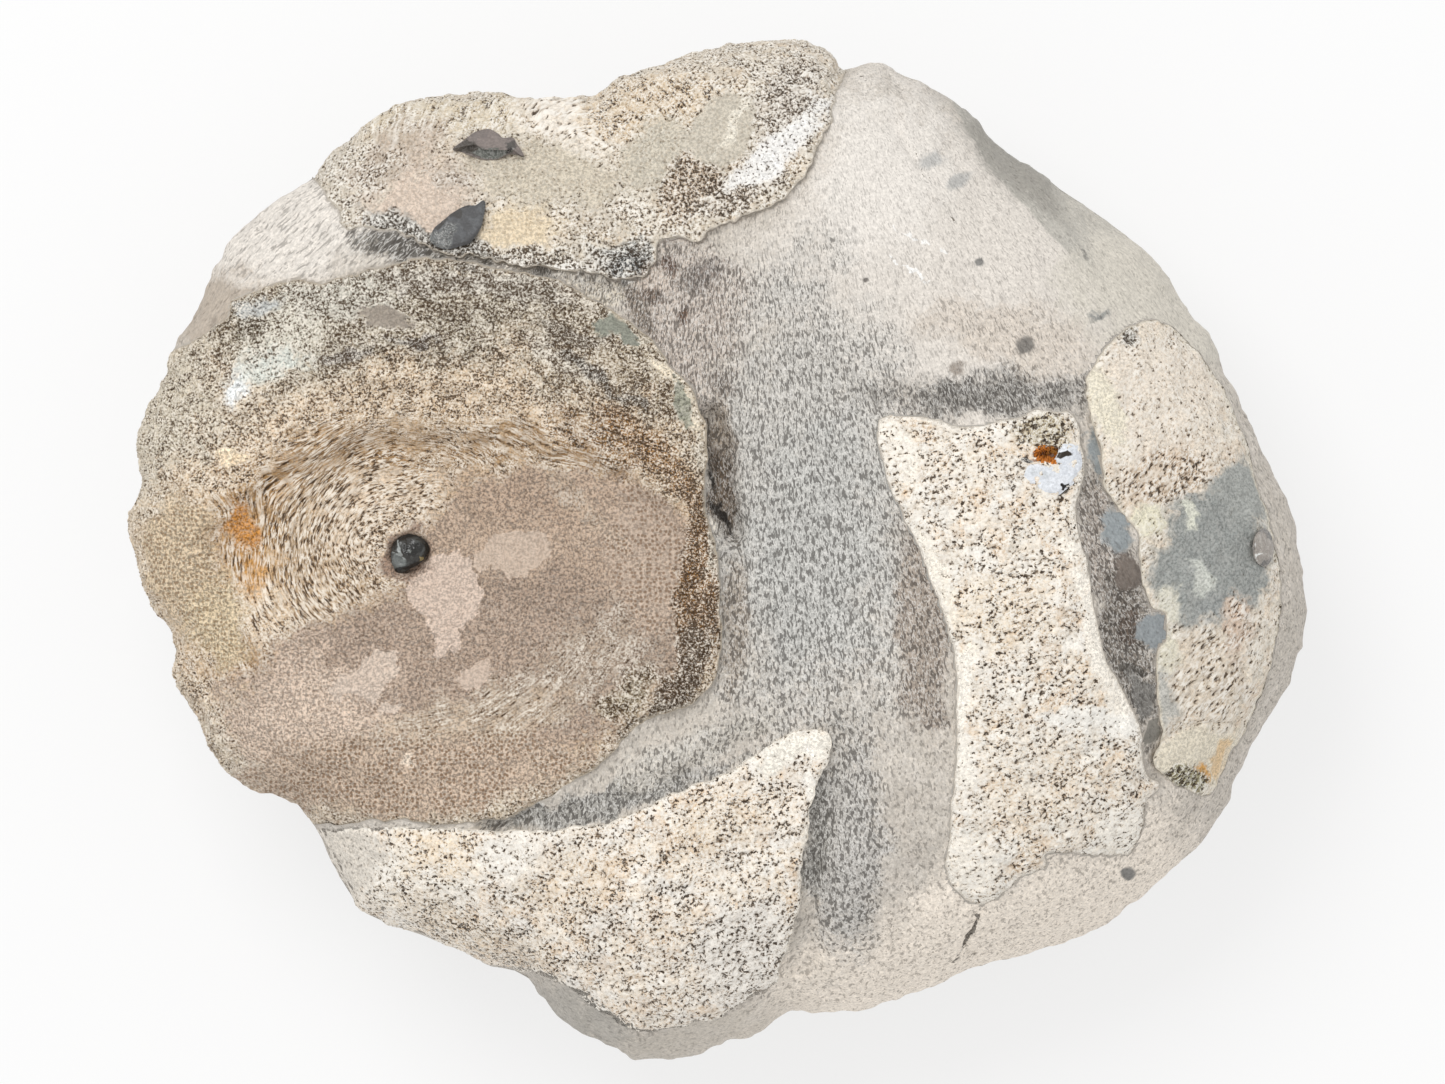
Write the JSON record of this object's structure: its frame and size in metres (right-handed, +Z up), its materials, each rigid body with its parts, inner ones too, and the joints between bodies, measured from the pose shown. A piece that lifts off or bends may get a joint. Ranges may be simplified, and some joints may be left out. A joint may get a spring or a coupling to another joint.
{
  "type": "ichthyosaur vertebra fossil",
  "caption": "Sea-worn limestone cobble with ichthyosaur vertebra centra fixed in it, one face-on and hollow, others worn through lengthwise.",
  "frame": {"origin": "on the flat underside that the cobble rests on, below the middle of its bounding box", "axes": "+Z up, out of the worn face that shows the bones; +X from the round face-on vertebra towards the middle and right vertebrae; +Y towards the upper vertebra"},
  "size_m": [0.1178, 0.1026, 0.0449],
  "materials": {
    "matrix": "worn matt fine-grained limestone, grey in the middle and beige towards the upper right",
    "fossil_bone": "mineralised spongy bone, cream to pinkish brown with dark pores",
    "mudstone": "dark grey mudstone with a slight gloss",
    "calcite": "bluish-white sugary calcite crystals",
    "nodule": "smooth glossy dark olive-grey"
  },
  "bodies": {
    "root": {"matrix_stone": "matrix", "vertebra_round": "fossil_bone", "vertebra_upper": "fossil_bone", "vertebra_lower": "fossil_bone", "vertebra_middle": "fossil_bone", "vertebra_right": "fossil_bone", "notochord_plug": "mudstone", "mudstone_chip_upper": "mudstone", "mudstone_chip_lower": "mudstone", "calcite_crust": "calcite", "nodule_right": "nodule"}
  },
  "joints": []
}
